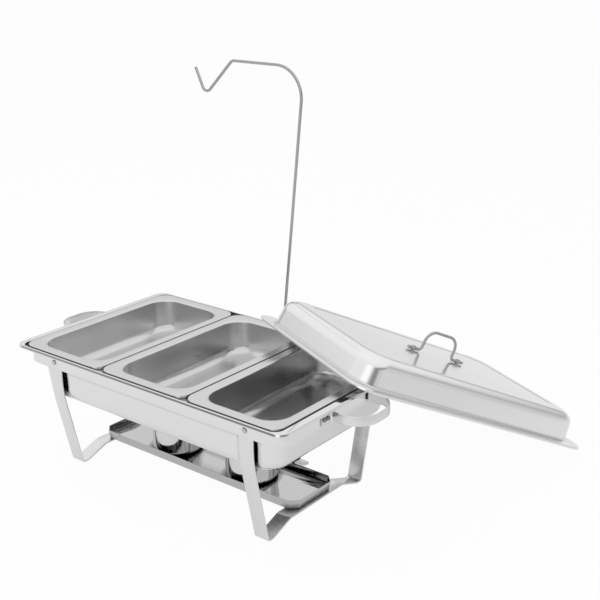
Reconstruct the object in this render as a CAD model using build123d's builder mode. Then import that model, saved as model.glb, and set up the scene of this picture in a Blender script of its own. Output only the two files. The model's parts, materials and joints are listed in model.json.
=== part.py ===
"""Chafing dish food warmer with a folding strip frame, a deep water pan, three one-third size food
pans, a fuel tray with two covered fuel holders, a lid and a rod that holds the lid up by its handle.

X runs along the dish, Y across it (the server stands at -Y), Z up. The origin is on the floor, at
the middle of the dish. The lid is off the dish: it leans over the back right corner of the water pan,
with its far end on the floor.
"""
import os
from math import cos, radians, sin

from build123d import *

os.makedirs("parts", exist_ok=True)

# ---------------------------------------------------------------- driving dimensions, in millimetres
# Food pans of one-third size: 325 by 176 over the flange.
FOOD_LENGTH = 325.0
FOOD_WIDTH = 176.0
FOOD_PITCH = 176.5
FOOD_DEPTH = 62.0
FOOD_SHEET = 0.9
FOOD_FLANGE_Y = 19.5
FOOD_FLANGE_X = 17.5

# Water pan
RIM_TOP = 209.0
RIM_X = 278.0
RIM_Y = 168.0
RIM_RADIUS = 30.0
LIP_HEIGHT = 6.0
LEDGE_DROP = 4.8
PAN_BOTTOM = 123.0
PAN_SHEET = 1.0

# Frame
BAND_X = 268.0
BAND_Y = 153.0
BAND_SHEET = 2.0
BAND_RADIUS = 26.0
BAND_LOW = 178.0
PIVOT_X = 200.0
PIVOT_Z = 189.0
LEG_WIDTH = 26.0
LEG_SHEET = 2.5
RIVET_RADIUS = 2.5

# Strap handles and their bolts
STRAP_SHEET = 2.0
STRAP_HEIGHT = 15.0
STRAP_MID_Z = 191.5
STRAP_REACH = 326.0
STRAP_HALF_Y = 46.0
BOLT_RADIUS = 2.0
BOLT_YS = (54.0, 62.5)

# Fuel tray and fuel holders
TRAY_X = 207.0
TRAY_Y = 49.0
TRAY_HEIGHT = 15.0
HOLDER_X = 81.0
HOLDER_RADIUS = 42.5
HOLDER_HEIGHT = 53.0

# Lid, in its own plane
LID_X = 265.0
LID_Y = 162.0
LID_HEIGHT = 45.5
LID_SHEET = 1.0

# Lid handle of bent wire, swinging in two posts
WIRE_RADIUS = 2.5
POST_X = 53.0
POST_RADIUS = 3.8
TAIL_RADIUS = 2.5

# Rod that holds the lid up by its handle, and the plate of its socket
ROD_RADIUS = 2.5
ROD_Y = 190.0
ROD_FOOT_X = -3.5
PLATE_MID_Z = 190.0
PLATE_RIVET_X = 17.0
PLATE_RIVET_RADIUS = 2.0

# ---------------------------------------------------------------- worked out from those
FIT = 0.08                              # radial clearance of a turning fit
BAND_TOP = RIM_TOP - LIP_HEIGHT
BAND_HEIGHT = BAND_TOP - BAND_LOW
LEDGE_Z = RIM_TOP - LEDGE_DROP
LEG_GAP = 0.25                          # between the band and the leg that turns inside it
LEG_OUTER_Y = BAND_Y - BAND_SHEET - LEG_GAP
LEG_CENTRE_Y = LEG_OUTER_Y - LEG_SHEET / 2
SEAT_Z = 17.0                           # top of the strip that the fuel tray rests on
TRAY_SHEET = 1.0
TRAY_FLOOR = SEAT_Z + TRAY_SHEET
HOLDER_TOP = TRAY_FLOOR + HOLDER_HEIGHT
MIDDLE = FOOD_PITCH

socket_plane = Plane((ROD_FOOT_X, BAND_Y, PLATE_MID_Z), x_dir=(1, 0, 0), z_dir=(0, 1, 0))

SIDES = (("left", -1), ("right", 1))
BOLT_ROW = [sign_y * bolt_y for sign_y in (-1, 1) for bolt_y in BOLT_YS]


# ---------------------------------------------------------------- frame
with BuildPart() as frame_band:
    with BuildSketch(Plane.XY.offset(BAND_LOW)):
        RectangleRounded(2 * BAND_X, 2 * BAND_Y, BAND_RADIUS)
        RectangleRounded(2 * (BAND_X - BAND_SHEET), 2 * (BAND_Y - BAND_SHEET),
                         BAND_RADIUS - BAND_SHEET, mode=Mode.SUBTRACT)
    extrude(amount=BAND_HEIGHT)
    # holes of the four leg rivets, the two socket rivets and the four handle bolts
    with Locations(Plane((0, 0, PIVOT_Z), x_dir=(1, 0, 0), z_dir=(0, -1, 0))):
        with Locations((-PIVOT_X, 0), (PIVOT_X, 0)):
            Cylinder(RIVET_RADIUS, 2 * BAND_Y + 10, mode=Mode.SUBTRACT)
    with Locations(socket_plane):
        with Locations((-PLATE_RIVET_X, 0), (PLATE_RIVET_X, 0)):
            Cylinder(PLATE_RIVET_RADIUS, 4 * BAND_SHEET, mode=Mode.SUBTRACT)
    with Locations(Plane((0, 0, STRAP_MID_Z), x_dir=(0, 1, 0), z_dir=(1, 0, 0))):
        with Locations(*[(bolt_y, 0) for bolt_y in BOLT_ROW]):
            Cylinder(BOLT_RADIUS, 2 * BAND_X + 10, mode=Mode.SUBTRACT)

frame_band.part.label = "frame_band"
export_step(frame_band.part, "parts/frame_band.step")

# Each leg frame is one strip: down a leg, along a foot, up to the tray seat, and back the same way.
LEG_KNEE_Z = 140.0
FOOT_Y = 117.0
FOOT_LENGTH = 11.0
SEAT_Y = 66.0
LEG_TOP = PIVOT_Z + LEG_WIDTH / 2
SEAT_MID = SEAT_Z - LEG_SHEET / 2
FOOT_MID = LEG_SHEET / 2
half_strip = [
    (LEG_CENTRE_Y, LEG_TOP),
    (LEG_CENTRE_Y, LEG_KNEE_Z),
    (FOOT_Y, FOOT_MID),
    (FOOT_Y - FOOT_LENGTH, FOOT_MID),
    (SEAT_Y, SEAT_MID),
]
strip_points = [(-y, z) for y, z in half_strip] + [(y, z) for y, z in reversed(half_strip)]
half_radii = [200.0, 4.0, 5.0, 14.0]
strip_radii = half_radii + half_radii[::-1]

for side, sign in SIDES:
    with BuildPart() as leg_frame:
        with BuildLine(Plane.YZ.offset(sign * PIVOT_X)) as strip_line:
            FilletPolyline(*strip_points, radius=strip_radii)
        with BuildSketch(Plane((sign * PIVOT_X, -LEG_CENTRE_Y, LEG_TOP), x_dir=(1, 0, 0), z_dir=(0, 0, -1))):
            Rectangle(LEG_WIDTH, LEG_SHEET)
        sweep(path=strip_line.line)
        top_corners = leg_frame.edges().filter_by(Axis.Y).group_by(Axis.Z)[-1]
        fillet(top_corners, LEG_WIDTH / 2 - 0.2)
        with Locations(Plane((sign * PIVOT_X, 0, PIVOT_Z), x_dir=(1, 0, 0), z_dir=(0, -1, 0))):
            Cylinder(RIVET_RADIUS + FIT, 2 * BAND_Y, mode=Mode.SUBTRACT)

    leg_frame.part.label = f"{side}_leg_frame"
    export_step(leg_frame.part, f"parts/{side}_leg_frame.step")

# Rivets: a domed head outside the band, a flat head inside the leg.
RIVET_HEAD = 4.0
RIVET_DOME = 1.6
WASHER_SHEET = 0.6
RIVET_TAIL = 0.8
LEG_INNER_Y = LEG_OUTER_Y - LEG_SHEET
rivet_tail_y = LEG_INNER_Y - WASHER_SHEET - RIVET_TAIL
leg_places = [(sign_x, sign_y) for sign_x in (-1, 1) for sign_y in (-1, 1)]
with BuildPart() as leg_rivets:
    for sign_x, sign_y in leg_places:
        tail_plane = Plane((sign_x * PIVOT_X, sign_y * rivet_tail_y, PIVOT_Z),
                           x_dir=(1, 0, 0), z_dir=(0, sign_y, 0))
        with BuildSketch(tail_plane):
            Circle(RIVET_HEAD)
        extrude(amount=RIVET_TAIL)
        with BuildSketch(tail_plane):
            Circle(RIVET_RADIUS)
        extrude(amount=BAND_Y - rivet_tail_y)
        with BuildSketch(tail_plane.offset(BAND_Y - rivet_tail_y)):
            Circle(RIVET_HEAD)
        extrude(amount=RIVET_DOME)
    head_rims = leg_rivets.edges().filter_by(GeomType.CIRCLE).filter_by(
        lambda edge: abs(edge.center().Y) > BAND_Y + RIVET_DOME - 0.1)
    fillet(head_rims, RIVET_DOME - 0.2)

leg_rivets.part.label = "leg_rivets"
export_step(leg_rivets.part, "parts/leg_rivets.step")

WASHER_RADIUS = 6.5
with BuildPart() as leg_washers:
    for sign_x, sign_y in leg_places:
        washer_plane = Plane((sign_x * PIVOT_X, sign_y * LEG_INNER_Y, PIVOT_Z),
                             x_dir=(1, 0, 0), z_dir=(0, -sign_y, 0))
        with BuildSketch(washer_plane):
            Circle(WASHER_RADIUS)
            Circle(RIVET_RADIUS, mode=Mode.SUBTRACT)
        extrude(amount=WASHER_SHEET)

leg_washers.part.label = "leg_washers"
export_step(leg_washers.part, "parts/leg_washers.step")

# Strap handles: a flat strip bent to a loop, with both ends turned out and bolted to the band's end.
STRAP_END_Y = 68.0
STRAP_CORNER = 36.0
strap_in = BAND_X + STRAP_SHEET / 2
strap_out = STRAP_REACH - STRAP_SHEET / 2
strap_side = STRAP_HALF_Y - STRAP_SHEET / 2
for side, sign in SIDES:
    strap_points = [(sign * strap_in, STRAP_END_Y), (sign * strap_in, strap_side),
                    (sign * strap_out, strap_side), (sign * strap_out, -strap_side),
                    (sign * strap_in, -strap_side), (sign * strap_in, -STRAP_END_Y)]
    with BuildPart() as handle:
        with BuildLine(Plane.XY.offset(STRAP_MID_Z)) as strap_line:
            FilletPolyline(*strap_points, radius=[4.0, STRAP_CORNER, STRAP_CORNER, 4.0])
        with BuildSketch(Plane((sign * strap_in, STRAP_END_Y, STRAP_MID_Z), x_dir=(1, 0, 0), z_dir=(0, 1, 0))):
            Rectangle(STRAP_SHEET, STRAP_HEIGHT)
        sweep(path=strap_line.line)
        with Locations(Plane((sign * BAND_X, 0, STRAP_MID_Z), x_dir=(0, 1, 0), z_dir=(sign, 0, 0))):
            with Locations(*[(bolt_y, 0) for bolt_y in BOLT_ROW]):
                Cylinder(BOLT_RADIUS, 4 * STRAP_SHEET, mode=Mode.SUBTRACT)

    handle.part.label = f"handle_{side}"
    export_step(handle.part, f"parts/handle_{side}.step")

# Bolts and nuts of the handles
BOLT_HEAD_RADIUS = 3.7
BOLT_HEAD_HEIGHT = 2.6
NUT_HEIGHT = 2.6
NUT_RADIUS = 4.0
bolt_places = [(sign_x, bolt_y) for sign_x in (-1, 1) for bolt_y in BOLT_ROW]
with BuildPart() as handle_bolts:
    for sign_x, bolt_y in bolt_places:
        outer_face = Plane((sign_x * (BAND_X + STRAP_SHEET), bolt_y, STRAP_MID_Z),
                           x_dir=(0, 1, 0), z_dir=(sign_x, 0, 0))
        with BuildSketch(outer_face):
            Circle(BOLT_HEAD_RADIUS)
        extrude(amount=BOLT_HEAD_HEIGHT)
        with BuildSketch(outer_face):
            Circle(BOLT_RADIUS)
        extrude(amount=-(STRAP_SHEET + BAND_SHEET + NUT_HEIGHT + 1.0))
    head_edges = handle_bolts.edges().filter_by(GeomType.CIRCLE).filter_by(
        lambda edge: abs(edge.center().X) > BAND_X + STRAP_SHEET + BOLT_HEAD_HEIGHT - 0.1)
    fillet(head_edges, 1.8)

handle_bolts.part.label = "handle_bolts"
export_step(handle_bolts.part, "parts/handle_bolts.step")

with BuildPart() as handle_nuts:
    for sign_x, bolt_y in bolt_places:
        inner_face = Plane((sign_x * (BAND_X - BAND_SHEET), bolt_y, STRAP_MID_Z),
                           x_dir=(0, 1, 0), z_dir=(-sign_x, 0, 0))
        with BuildSketch(inner_face):
            RegularPolygon(NUT_RADIUS, 6)
            Circle(BOLT_RADIUS, mode=Mode.SUBTRACT)
        extrude(amount=NUT_HEIGHT)

handle_nuts.part.label = "handle_nuts"
export_step(handle_nuts.part, "parts/handle_nuts.step")

# Socket of the lid rod: a plate riveted to the back of the band, an arm, and an upright sleeve.
SLEEVE_RADIUS = 5.5
SLEEVE_LOW = 166.0
SLEEVE_TOP = 201.0
SLEEVE_FLOOR = 3.0
PLATE_WIDTH = 46.0
PLATE_HEIGHT = 20.0
PLATE_SHEET = 2.5
ARM_WIDTH = 7.0
with BuildPart() as hook_socket:
    with BuildSketch(socket_plane):
        RectangleRounded(PLATE_WIDTH, PLATE_HEIGHT, 5)
    extrude(amount=PLATE_SHEET)
    with BuildSketch(socket_plane):
        Rectangle(ARM_WIDTH, PLATE_HEIGHT - 4)
    extrude(amount=ROD_Y - BAND_Y)
    with BuildSketch(Plane((ROD_FOOT_X, ROD_Y, SLEEVE_LOW))):
        Circle(SLEEVE_RADIUS)
    extrude(amount=SLEEVE_TOP - SLEEVE_LOW)
    with BuildSketch(Plane((ROD_FOOT_X, ROD_Y, SLEEVE_LOW + SLEEVE_FLOOR))):
        Circle(ROD_RADIUS + FIT)
    extrude(amount=SLEEVE_TOP - SLEEVE_LOW, mode=Mode.SUBTRACT)
    with Locations(socket_plane):
        with Locations((-PLATE_RIVET_X, 0), (PLATE_RIVET_X, 0)):
            Cylinder(PLATE_RIVET_RADIUS, 4 * PLATE_SHEET, mode=Mode.SUBTRACT)

hook_socket.part.label = "hook_socket"
export_step(hook_socket.part, "parts/hook_socket.step")

PLATE_RIVET_HEAD = 3.6
with BuildPart() as hook_socket_rivets:
    for offset_x in (-PLATE_RIVET_X, PLATE_RIVET_X):
        with BuildSketch(socket_plane.offset(PLATE_SHEET)):
            with Locations((offset_x, 0)):
                Circle(PLATE_RIVET_HEAD)
        extrude(amount=1.4, taper=30)
        with BuildSketch(socket_plane.offset(-BAND_SHEET)):
            with Locations((offset_x, 0)):
                Circle(PLATE_RIVET_RADIUS)
        extrude(amount=PLATE_SHEET + BAND_SHEET)
        with BuildSketch(socket_plane.offset(-BAND_SHEET)):
            with Locations((offset_x, 0)):
                Circle(PLATE_RIVET_HEAD)
        extrude(amount=-0.9)

hook_socket_rivets.part.label = "hook_socket_rivets"
export_step(hook_socket_rivets.part, "parts/hook_socket_rivets.step")

# Lid rod: upright in the sleeve, a slight lean, over the dish's end and down to a hook.
rod_points = [
    (ROD_FOOT_X, SLEEVE_LOW + SLEEVE_FLOOR),
    (ROD_FOOT_X, 214.0),
    (36.6, 638.5),
    (-113.5, 638.5),
    (-174.5, 576.5),
    (-196.0, 622.0),
]
rod_radii = [60.0, 50.0, 12.0, 10.5]
with BuildPart() as hook_rod:
    with BuildLine(Plane((0, ROD_Y, 0), x_dir=(1, 0, 0), z_dir=(0, -1, 0))) as rod_line:
        FilletPolyline(*rod_points, radius=rod_radii)
    with BuildSketch(Plane((ROD_FOOT_X, ROD_Y, SLEEVE_LOW + SLEEVE_FLOOR))):
        Circle(ROD_RADIUS)
    sweep(path=rod_line.line)
    fillet(hook_rod.edges().filter_by(GeomType.CIRCLE).sort_by(SortBy.RADIUS)[:2], 0.8)

hook_rod.part.label = "hook_rod"
export_step(hook_rod.part, "parts/hook_rod.step")

# ---------------------------------------------------------------- fuel tray and fuel holders
STUD_RADIUS = 4.0
STUD_HEIGHT = 2.2
TRAY_CUT = 12.0
with BuildPart() as fuel_tray:
    with BuildSketch(Plane.XY.offset(SEAT_Z)):
        Rectangle(2 * TRAY_X, 2 * TRAY_Y)
        chamfer(vertices(), TRAY_CUT)
    extrude(amount=TRAY_HEIGHT, taper=-10)
    with BuildSketch(Plane.XY.offset(TRAY_FLOOR)):
        Rectangle(2 * (TRAY_X - TRAY_SHEET), 2 * (TRAY_Y - TRAY_SHEET))
        chamfer(vertices(), TRAY_CUT - 0.6 * TRAY_SHEET)
    extrude(amount=TRAY_HEIGHT, taper=-10, mode=Mode.SUBTRACT)
    # slots that drop over the studs of the leg frames
    with BuildSketch(Plane.XY.offset(SEAT_Z - 1)):
        with Locations((-PIVOT_X, 0), (PIVOT_X, 0)):
            SlotOverall(2 * STUD_RADIUS + 3, 2 * STUD_RADIUS + 1)
    extrude(amount=TRAY_SHEET + 2, mode=Mode.SUBTRACT)

fuel_tray.part.label = "fuel_tray"
export_step(fuel_tray.part, "parts/fuel_tray.step")

for side, sign in SIDES:
    with BuildPart() as tray_stud:
        with BuildSketch(Plane((sign * PIVOT_X, 0, SEAT_Z))):
            Circle(STUD_RADIUS)
        extrude(amount=STUD_HEIGHT)
        fillet(tray_stud.edges().group_by(Axis.Z)[-1], 0.8)

    tray_stud.part.label = f"{side}_tray_stud"
    export_step(tray_stud.part, f"parts/{side}_tray_stud.step")

HOLDER_SHEET = 0.8
HOLDER_BEAD = 1.5
COVER_SHEET = 1.0
PIVOT_POST_RADIUS = 2.0
PIVOT_INSET = 8.0
HOLDER_BASE_RADIUS = 8.0
for side, sign in SIDES:
    holder_centre = Vector(sign * HOLDER_X, 0, 0)
    pivot_place = Vector(sign * HOLDER_X, HOLDER_RADIUS - PIVOT_INSET, 0)
    with BuildPart() as fuel_holder:
        with BuildSketch(Plane((sign * HOLDER_X, 0, 0), x_dir=(1, 0, 0), z_dir=(0, -1, 0))):
            with BuildLine():
                inner = HOLDER_RADIUS - HOLDER_SHEET
                Polyline((0, TRAY_FLOOR), (HOLDER_RADIUS, TRAY_FLOOR), (HOLDER_RADIUS, HOLDER_TOP - HOLDER_BEAD),
                         (HOLDER_RADIUS + HOLDER_BEAD, HOLDER_TOP - HOLDER_BEAD),
                         (HOLDER_RADIUS + HOLDER_BEAD, HOLDER_TOP), (inner, HOLDER_TOP),
                         (inner, TRAY_FLOOR + HOLDER_SHEET), (0, TRAY_FLOOR + HOLDER_SHEET), close=True)
            make_face()
        revolve(axis=Axis((sign * HOLDER_X, 0, 0), (0, 0, 1)))
        inner_base = fuel_holder.edges().filter_by(GeomType.CIRCLE).group_by(Axis.Z)[1]
        fillet(inner_base, HOLDER_BASE_RADIUS - HOLDER_SHEET)
        outer_base = fuel_holder.edges().filter_by(GeomType.CIRCLE).group_by(Axis.Z)[0]
        fillet(outer_base, HOLDER_BASE_RADIUS)
        # lug under the cover's pivot
        with BuildSketch(Plane.XY.offset(HOLDER_TOP - HOLDER_SHEET)):
            with Locations((sign * HOLDER_X, HOLDER_RADIUS - PIVOT_INSET / 2)):
                Rectangle(16, PIVOT_INSET + 6)
            with Locations((sign * HOLDER_X, 0)):
                Circle(HOLDER_RADIUS, mode=Mode.INTERSECT)
        extrude(amount=HOLDER_SHEET)
        with Locations((pivot_place.X, pivot_place.Y, HOLDER_TOP)):
            Cylinder(PIVOT_POST_RADIUS, 10, mode=Mode.SUBTRACT)

    fuel_holder.part.label = f"fuel_holder_{side}"
    export_step(fuel_holder.part, f"parts/fuel_holder_{side}.step")

    # The cover turns on a rivet at the back of the holder. Its strap handle reaches out past the rim.
    with BuildPart() as holder_cover:
        with BuildSketch(Plane.XY.offset(HOLDER_TOP)):
            with Locations((sign * HOLDER_X, 0)):
                Circle(HOLDER_RADIUS + 2.5)
        extrude(amount=COVER_SHEET)
        with BuildSketch(Plane.XY.offset(HOLDER_TOP + COVER_SHEET)):
            with Locations((sign * HOLDER_X, 0)):
                Circle(HOLDER_RADIUS - 14)
        extrude(amount=2.5, taper=35)
        with BuildSketch(Plane.XY.offset(HOLDER_TOP)):
            with Locations((sign * HOLDER_X + 72, 0)):
                Rectangle(66, 15)
            with Locations((sign * HOLDER_X + 72 + 33, 0)):
                Circle(7.5)
        extrude(amount=2.0)
        with Locations((pivot_place.X, pivot_place.Y, HOLDER_TOP)):
            Cylinder(PIVOT_POST_RADIUS + FIT, 10, mode=Mode.SUBTRACT)

    holder_cover.part.label = f"holder_cover_{side}"
    export_step(holder_cover.part, f"parts/holder_cover_{side}.step")

    with BuildPart() as cover_pivot:
        with BuildSketch(Plane((pivot_place.X, pivot_place.Y, HOLDER_TOP - HOLDER_SHEET - 1.2))):
            Circle(2 * PIVOT_POST_RADIUS)
        extrude(amount=1.2)
        with BuildSketch(Plane((pivot_place.X, pivot_place.Y, HOLDER_TOP - HOLDER_SHEET))):
            Circle(PIVOT_POST_RADIUS)
        extrude(amount=HOLDER_SHEET + COVER_SHEET + 0.2)
        with BuildSketch(Plane((pivot_place.X, pivot_place.Y, HOLDER_TOP + COVER_SHEET + 0.2))):
            Circle(2 * PIVOT_POST_RADIUS)
        extrude(amount=1.4, taper=25)

    cover_pivot.part.label = f"cover_pivot_{side}"
    export_step(cover_pivot.part, f"parts/cover_pivot_{side}.step")

    # heat-proof sleeve on the cover's handle
    with BuildPart() as cover_grip:
        with BuildSketch(Plane((sign * HOLDER_X + 80, 0, HOLDER_TOP + 1.0), x_dir=(0, 1, 0), z_dir=(1, 0, 0))):
            RectangleRounded(18, 6, 2.4)
            Rectangle(15, 2.0, mode=Mode.SUBTRACT)
        extrude(amount=12)

    cover_grip.part.label = f"cover_grip_{side}"
    export_step(cover_grip.part, f"parts/cover_grip_{side}.step")

# ---------------------------------------------------------------- water pan
# Half sizes of the wall's outside, where it leaves the ledge and where it would meet the floor.
WALL_TOP = (254.0, 146.5)
WALL_FLOOR = (243.0, 142.0)
WALL_TOP_RADIUS = 31.0
WALL_FLOOR_RADIUS = 33.0
FLOOR_FILLET = 22.0
RISER_X = 266.2
RISER_Y = 164.0
RISER_RADIUS = 17.5
RIM_SHEET = 1.2
with BuildPart() as water_hollow:
    with BuildSketch(Plane.XY.offset(PAN_BOTTOM + PAN_SHEET)):
        RectangleRounded(2 * (WALL_FLOOR[0] - PAN_SHEET), 2 * (WALL_FLOOR[1] - PAN_SHEET),
                         WALL_FLOOR_RADIUS - PAN_SHEET)
    with BuildSketch(Plane.XY.offset(RIM_TOP + 1)):
        RectangleRounded(2 * (WALL_TOP[0] - PAN_SHEET), 2 * (WALL_TOP[1] - PAN_SHEET),
                         WALL_TOP_RADIUS - PAN_SHEET)
    loft()
    fillet(water_hollow.faces().sort_by(Axis.Z)[0].edges(), FLOOR_FILLET - PAN_SHEET)

with BuildPart() as water_pan:
    with BuildSketch(Plane.XY.offset(PAN_BOTTOM)):
        RectangleRounded(2 * WALL_FLOOR[0], 2 * WALL_FLOOR[1], WALL_FLOOR_RADIUS)
    with BuildSketch(Plane.XY.offset(RIM_TOP + 1)):
        RectangleRounded(2 * WALL_TOP[0], 2 * WALL_TOP[1], WALL_TOP_RADIUS)
    loft()
    fillet(water_pan.faces().sort_by(Axis.Z)[0].edges(), FLOOR_FILLET)
    with BuildSketch(Plane.XY.offset(BAND_TOP)):
        Rectangle(2 * RIM_X, 2 * RIM_Y)
    extrude(amount=2 * LIP_HEIGHT, mode=Mode.SUBTRACT)
    # ledge, riser, flat rim and turned-down lip
    with BuildSketch(Plane.XY.offset(BAND_TOP)):
        RectangleRounded(2 * RIM_X, 2 * RIM_Y, RIM_RADIUS)
    extrude(amount=LIP_HEIGHT)
    fillet(water_pan.faces().sort_by(Axis.Z)[-1].outer_wire().edges(), 2.2)
    with BuildSketch(Plane.XY.offset(LEDGE_Z)):
        RectangleRounded(2 * RISER_X, 2 * RISER_Y, RISER_RADIUS)
    extrude(amount=2 * LEDGE_DROP, mode=Mode.SUBTRACT)
    # hollow under the rim, between the riser and the lip
    with BuildSketch(Plane.XY.offset(BAND_TOP)):
        RectangleRounded(2 * (RIM_X - RIM_SHEET), 2 * (RIM_Y - RIM_SHEET), RIM_RADIUS - RIM_SHEET)
        RectangleRounded(2 * (RISER_X + RIM_SHEET), 2 * (RISER_Y + RIM_SHEET), RISER_RADIUS + RIM_SHEET,
                         mode=Mode.SUBTRACT)
    extrude(amount=LIP_HEIGHT - RIM_SHEET, mode=Mode.SUBTRACT)
    add(water_hollow.part, mode=Mode.SUBTRACT)

water_pan.part.label = "water_pan"
export_step(water_pan.part, "parts/water_pan.step")

# ---------------------------------------------------------------- food pans
FOOD_TOP = RIM_TOP
FOOD_LIP = LEDGE_DROP
BODY_X = FOOD_WIDTH / 2 - FOOD_FLANGE_X + FOOD_SHEET
BODY_Y = FOOD_LENGTH / 2 - FOOD_FLANGE_Y + FOOD_SHEET
BODY_TAPER = 3.0
BODY_RADIUS = 36.0
WELL_FILLET = 18.0
FLANGE_ROLL = 3.0                       # radius at which the flange turns down into the wall
FOOD_CORNER = 16.0
for name, place in (("left", -MIDDLE), ("middle", 0.0), ("right", MIDDLE)):
    with BuildPart() as food_well:
        with BuildSketch(Plane((place, 0, FOOD_TOP))):
            RectangleRounded(2 * (BODY_X - FOOD_SHEET), 2 * (BODY_Y - FOOD_SHEET), BODY_RADIUS - FOOD_SHEET)
        extrude(amount=-(FOOD_DEPTH - FOOD_SHEET), taper=BODY_TAPER)
        fillet(food_well.faces().sort_by(Axis.Z)[0].edges(), WELL_FILLET - FOOD_SHEET)

    with BuildPart() as food_pan:
        with BuildSketch(Plane((place, 0, FOOD_TOP))):
            RectangleRounded(2 * BODY_X, 2 * BODY_Y, BODY_RADIUS)
        extrude(amount=-FOOD_DEPTH, taper=BODY_TAPER)
        fillet(food_pan.faces().sort_by(Axis.Z)[0].edges(), WELL_FILLET)
        with BuildSketch(Plane((place, 0, FOOD_TOP))):
            RectangleRounded(FOOD_WIDTH, FOOD_LENGTH, FOOD_CORNER)
        extrude(amount=-FOOD_SHEET)
        underside = food_pan.faces().filter_by(Axis.Z).sort_by(Axis.Z)[-2]
        fillet(underside.inner_wires().edges(), FLANGE_ROLL - FOOD_SHEET)
        # lip round the flange that stands on the water pan's ledge
        with BuildSketch(Plane((place, 0, FOOD_TOP))):
            RectangleRounded(FOOD_WIDTH, FOOD_LENGTH, FOOD_CORNER)
            RectangleRounded(FOOD_WIDTH - 2 * FOOD_SHEET, FOOD_LENGTH - 2 * FOOD_SHEET,
                             FOOD_CORNER - FOOD_SHEET, mode=Mode.SUBTRACT)
        extrude(amount=-FOOD_LIP)
        add(food_well.part, mode=Mode.SUBTRACT)
        fillet(food_pan.faces().sort_by(Axis.Z)[-1].inner_wires().edges(), FLANGE_ROLL)
        fillet(food_pan.faces().sort_by(Axis.Z)[-1].outer_wire().edges(), 0.8)

    food_pan.part.label = f"food_pan_{name}"
    export_step(food_pan.part, f"parts/food_pan_{name}.step")

# ---------------------------------------------------------------- lid
# The lid's plane: its long axis leans down to the floor behind the dish's right end.
LID_TURN = 69.8
LID_DIP = 25.2
LID_ROLL = 3.6
LID_ORIGIN = (227.9, 272.5, 124.1)
turn = radians(LID_TURN)
dip = radians(LID_DIP)
roll = radians(LID_ROLL)
long_axis = Vector(cos(turn) * cos(dip), sin(turn) * cos(dip), -sin(dip))
level_side = Vector(-sin(turn), cos(turn), 0)
square_up = long_axis.cross(level_side)
side_axis = level_side * cos(roll) + square_up * sin(roll)
lid_up = long_axis.cross(side_axis)
lid_plane = Plane(LID_ORIGIN, x_dir=long_axis, z_dir=lid_up)

LID_WALL_X = 243.0
LID_WALL_Y = 140.0
LID_WALL_RADIUS = 58.0
PANEL_X = 210.0
PANEL_Y = 107.0
PANEL_RISE = 1.8
PANEL_RADIUS = 28.0
PANEL_TOP = LID_HEIGHT + PANEL_RISE
LID_TAPER = 5.0
CROWN_FILLET = 20.0
FLANGE_RADIUS = 42.0
FLANGE_EDGE = 2.5
lid_rise = Axis(LID_ORIGIN, lid_up)
with BuildPart() as lid_hollow:
    with BuildSketch(lid_plane.offset(-1)):
        RectangleRounded(2 * (LID_WALL_X - LID_SHEET), 2 * (LID_WALL_Y - LID_SHEET), LID_WALL_RADIUS - LID_SHEET)
    extrude(amount=LID_HEIGHT - LID_SHEET + 1, taper=LID_TAPER)
    fillet(lid_hollow.faces().sort_by(lid_rise)[-1].edges(), CROWN_FILLET - LID_SHEET)
    with BuildSketch(lid_plane.offset(LID_HEIGHT - LID_SHEET)):
        RectangleRounded(2 * PANEL_X, 2 * PANEL_Y, PANEL_RADIUS)
    extrude(amount=PANEL_RISE, taper=60)

with BuildPart() as lid:
    with BuildSketch(lid_plane):
        RectangleRounded(2 * LID_WALL_X, 2 * LID_WALL_Y, LID_WALL_RADIUS)
    extrude(amount=LID_HEIGHT, taper=LID_TAPER)
    fillet(lid.faces().sort_by(lid_rise)[-1].edges(), CROWN_FILLET)
    with BuildSketch(lid_plane.offset(LID_HEIGHT)):
        RectangleRounded(2 * PANEL_X, 2 * PANEL_Y, PANEL_RADIUS)
    extrude(amount=PANEL_RISE, taper=60)
    # flange with a turned-down edge
    with BuildSketch(lid_plane):
        RectangleRounded(2 * LID_X, 2 * LID_Y, FLANGE_RADIUS)
    extrude(amount=LID_SHEET)
    with BuildSketch(lid_plane):
        RectangleRounded(2 * LID_X, 2 * LID_Y, FLANGE_RADIUS)
        RectangleRounded(2 * (LID_X - LID_SHEET), 2 * (LID_Y - LID_SHEET), FLANGE_RADIUS - LID_SHEET,
                         mode=Mode.SUBTRACT)
    extrude(amount=-FLANGE_EDGE)
    add(lid_hollow.part, mode=Mode.SUBTRACT)
    # holes of the handle posts
    with Locations(lid_plane.offset(PANEL_TOP)):
        with Locations((-POST_X, 0), (POST_X, 0)):
            Cylinder(TAIL_RADIUS, 10, mode=Mode.SUBTRACT)

lid.part.label = "lid"
export_step(lid.part, "parts/lid.step")

# Handle of bent wire that swings in two posts.
POST_HEIGHT = 9.0
EYE_HEIGHT = PANEL_TOP + 4.8
BAIL_X = 36.0
BAIL_TOP = 90.0
BAIL_END_X = POST_X + 12
with BuildPart() as lid_handle:
    with BuildLine(Plane(LID_ORIGIN, x_dir=long_axis, z_dir=-side_axis)) as wire_line:
        FilletPolyline((-BAIL_END_X, EYE_HEIGHT), (-BAIL_X, EYE_HEIGHT), (-BAIL_X + 1, BAIL_TOP - WIRE_RADIUS),
                       (BAIL_X - 1, BAIL_TOP - WIRE_RADIUS), (BAIL_X, EYE_HEIGHT), (BAIL_END_X, EYE_HEIGHT),
                       radius=[6.0, 20.0, 20.0, 6.0])
    with BuildSketch(Plane(lid_plane.from_local_coords(Vector(-BAIL_END_X, 0, EYE_HEIGHT)),
                           x_dir=side_axis, z_dir=long_axis)):
        Circle(WIRE_RADIUS)
    sweep(path=wire_line.line)

lid_handle.part.label = "lid_handle"
export_step(lid_handle.part, "parts/lid_handle.step")

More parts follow.
